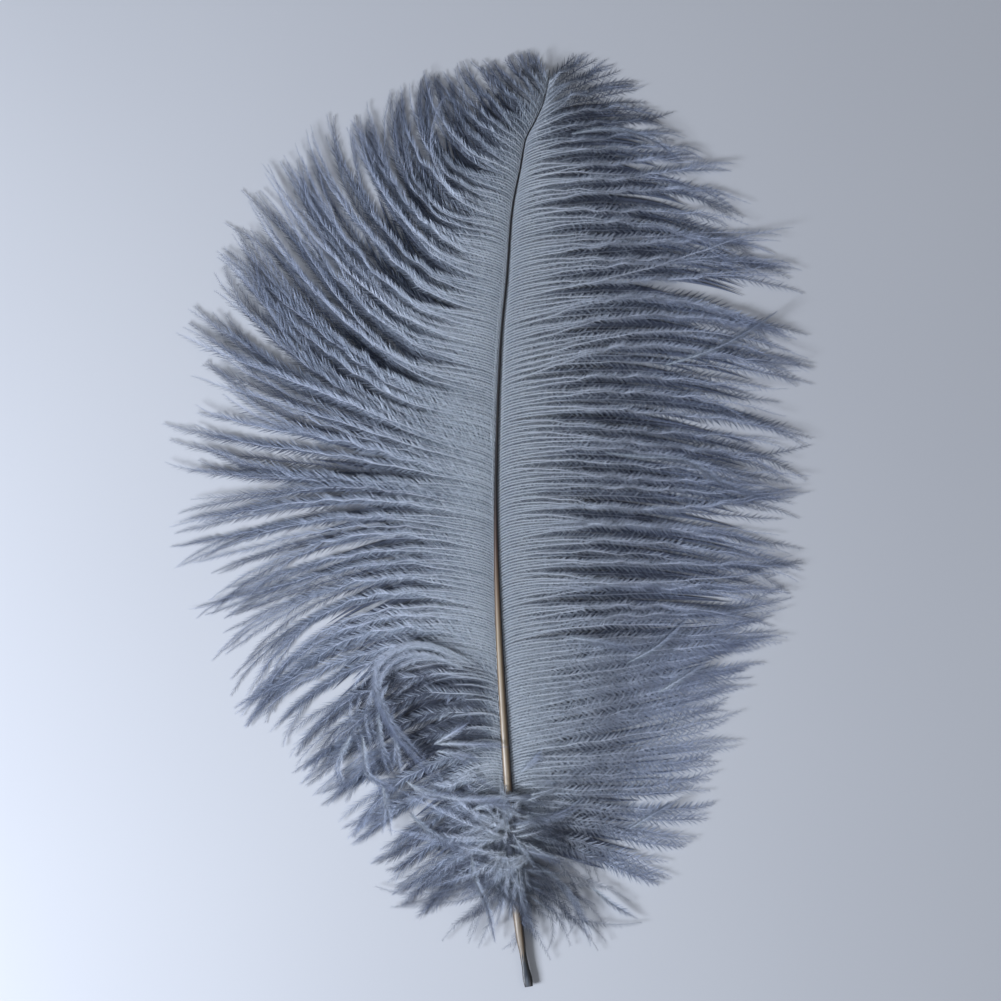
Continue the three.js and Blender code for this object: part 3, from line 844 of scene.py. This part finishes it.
def dress_vane(name, barbs, below, style, material):
    """A stretch of a vane: barb middles, barbules, and a layer of flat barbs underneath, painted dark as
    shade.
    """
    smooth_part = joined([rods(barbs, MIDDLE_WIDTHS, MIDDLE_HEIGHTS, along=MIDDLE_ALONG),
                          rods(below, UNDER_WIDTHS, UNDER_HEIGHTS, BARBULE_TONES, UNDER_TONES)])
    flat_part = barbules(barbs, 0.84 * MM, BARBULE_LENGTHS, 0.44, style.angles, style.cling)
    return piece_from_arrays(name, smooth_part, flat_part, material)


def dress_down(name, barbs, material):
    """Loose down: hair-thin barbs with long soft barbules."""
    flat_part = barbules(barbs, 0.7 * MM, DOWN_LENGTHS, 0.3, DOWN_ANGLES)
    return piece_from_arrays(name, rods(barbs, DOWN_MIDDLE, DOWN_MIDDLE), flat_part, material)


def dress_loose(name, barbs, material):
    """The barbs that lie their own way: pale, with close barbules."""
    flat_part = barbules(barbs, 0.56 * MM, LOOSE_LENGTHS, 0.36, LOOSE_ANGLES)
    return piece_from_arrays(name, rods(barbs, LOOSE_MIDDLE, LOOSE_MIDDLE), flat_part, material)


WEB_FROM, WEB_TO = 0.36, 0.995           # the stretch of the shaft that the webs run along
WEB_GAP = 0.45                           # mm from the shaft's middle line
WEB_HEIGHTS = ((0, 0.3), (0.5, 0.8), (1, 0.3))
WEBS = (                                 # for each side, its rise in mm and its widths
    (1, -0.1, ((0, 0.3), (0.2, 2.4), (0.45, 3.4), (0.7, 2.6), (0.9, 1.2), (1, 0.4))),
    (-1, 0.1, ((0, 0.3), (0.3, 1.8), (0.6, 2.4), (0.8, 1.8), (1, 0.4))),
)


def root_webs(name, material):
    """The webs along the upper shaft in which the barbs root: a smooth one over them on the right, and a
    narrower one between them on the left."""
    ups = WEB_FROM + (WEB_TO - WEB_FROM) * SHARE
    parts = []
    for side, rise, widths in WEBS:
        out = side * (np.interp(SHARE, *zip(*widths)) / 2 + WEB_GAP) * MM
        line = shaft_point(ups)
        across = np.radians(shaft_heading(ups))
        line[:, 0] += out * np.cos(across)
        line[:, 1] -= out * np.sin(across)
        line[:, 2] += rise * MM
        web = finish_barbs(line[None], np.array([0.25]), np.array([0.55]))
        parts.append(rods(web, widths, WEB_HEIGHTS))
    no_slivers = tuple(array[:0] for array in parts[0])
    return piece_from_arrays(name, joined(parts), no_slivers, material)


# How each vane grows. spacing is the mm between roots and thicker is where there are more; swing is the
# degrees that neighbouring locks sway together, and wave the mm that each waves sideways; opening is how
# far a lock opens at its end, and from which share of its length. tone is how pale the barbs are and
# tone_along what is added from root to tip; tip_shade darkens the feather's tip; contrast is how far the
# painted highlight on the locks and the painted shade on the barbs between them differ, and evened how
# much of that goes at their ends. fluff scales the barbules in a lock, angles is their slant, and cling
# how closely their tips come together.
RIGHT_VANE = SimpleNamespace(
    side=1, guides=RIGHT_GUIDES, seed=20, spacing=1.2, thicker=(1, 1), lock_sizes=(3, 4, 4, 5, 6),
    swing=4, wave=0.85, opening=(0.55, 0.68), height=1, under_reach=(0.62, 0.88), tone=0.72,
    tone_along=((0, 0.4), (0.1, 0.32), (0.25, 0.12), (0.4, 0.05), (1, 0.05)), tip_shade=0.34,
    contrast=1, evened=0, fluff=0.74, angles=((0, 40), (0.1, 48), (0.7, 46), (1, 34)), cling=0.9)
LEFT_VANE = SimpleNamespace(
    side=-1, guides=LEFT_GUIDES, seed=40, spacing=1.1, thicker=(0.5, 0.62), lock_sizes=(2, 3, 4, 5, 6),
    swing=2.8, wave=0.7, opening=(0.8, 0.5), height=0.72, under_reach=(0.5, 0.68), tone=0.66,
    tone_along=((0, 0.33), (0.1, 0.2), (0.3, -0.04), (0.5, -0.14), (1, -0.14)), tip_shade=0.22,
    contrast=0.72, evened=0.6, fluff=0.9, angles=((0, 40), (0.1, 44), (0.3, 42), (0.5, 33), (1, 26)),
    cling=0.3)
# Each vane is cut across into three pieces, at these places on the shaft.
STRETCHES = {"base": (0.0, 0.42), "middle": (0.42, 0.66), "tip": (0.66, 1.0)}

down, quill_horn = dyed_down(), horn()
pieces = [make_shaft(quill_horn), root_webs("root_webs", web_skin())]
right_barbs, right_below = vane(RIGHT_VANE), underlay(RIGHT_VANE)
left_barbs = vane(LEFT_VANE)
shade_hollow(left_barbs)
left_below = underlay(LEFT_VANE)
for vane_name, style, barbs, below in (("right_vane", RIGHT_VANE, right_barbs, right_below),
                                       ("left_vane", LEFT_VANE, left_barbs, left_below)):
    for stretch, (low, high) in STRETCHES.items():
        here, here_below = ((group.at >= low) & (group.at < high) for group in (barbs, below))
        pieces.append(dress_vane(f"{vane_name}_{stretch}", some(barbs, here), some(below, here_below),
                                 style, down))
pieces.append(dress_down("curled_barbs", curled_barbs(), down))
pieces.append(dress_down("base_down", base_down(), down))
pieces.append(dress_loose("loose_barbs", loose_barbs(), down))
for piece in pieces:
    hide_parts("feather")
    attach(piece, "root")

# ---- Table, light and camera ------------------------------------------------------------------
TABLE_REACH = 3.0
VIEW_SIZE = 411.1 * MM                   # how much of the table the camera's frame covers
VIEW_MIDDLE = (5.2 * MM, 7.9 * MM)
CAMERA_HEIGHT = 0.78
FOCUS_HEIGHT = 4 * MM                    # the height at which the frame covers that much

table = bpy.data.objects.new("table", bpy.data.meshes.new("table"))
bpy.context.scene.collection.objects.link(table)
table_mesh = bmesh.new()
bmesh.ops.create_grid(table_mesh, x_segments=2, y_segments=2, size=TABLE_REACH)
table_mesh.to_mesh(table.data)
table_mesh.free()
table.data.materials.append(table_paint())

scene = bpy.context.scene
scene.view_settings.view_transform = "Standard"
world = bpy.data.worlds.new("room")
scene.world = world
world.use_nodes = True
background = world.node_tree.nodes["Background"]
background.inputs["Color"].default_value = linear("#d6deec")
background.inputs["Strength"].default_value = 0.26


def window(name, place, aim, size, power, colour):
    """A soft square light that looks at a point."""
    light = bpy.data.lights.new(name, "AREA")
    light.size = size
    light.energy = power
    light.color = linear(colour)[:3]
    lamp = bpy.data.objects.new(name, light)
    lamp.location = place
    lamp.rotation_euler = (Vector(aim) - Vector(place)).to_track_quat("-Z", "Y").to_euler()
    scene.collection.objects.link(lamp)


window("window_light", (-0.78, -0.38, 0.5), (0, 0, 0), 0.32, 12.8, "#eaf1ff")
window("room_fill", (0.9, 0.5, 1.2), (0, 0, 0), 1.0, 1.4, "#fff1e2")

camera = bpy.data.cameras.new("camera")
camera.sensor_width = 36
camera.lens = camera.sensor_width * (CAMERA_HEIGHT - FOCUS_HEIGHT) / VIEW_SIZE
view = bpy.data.objects.new("camera", camera)
view.location = (*VIEW_MIDDLE, CAMERA_HEIGHT)
scene.collection.objects.link(view)
scene.camera = view
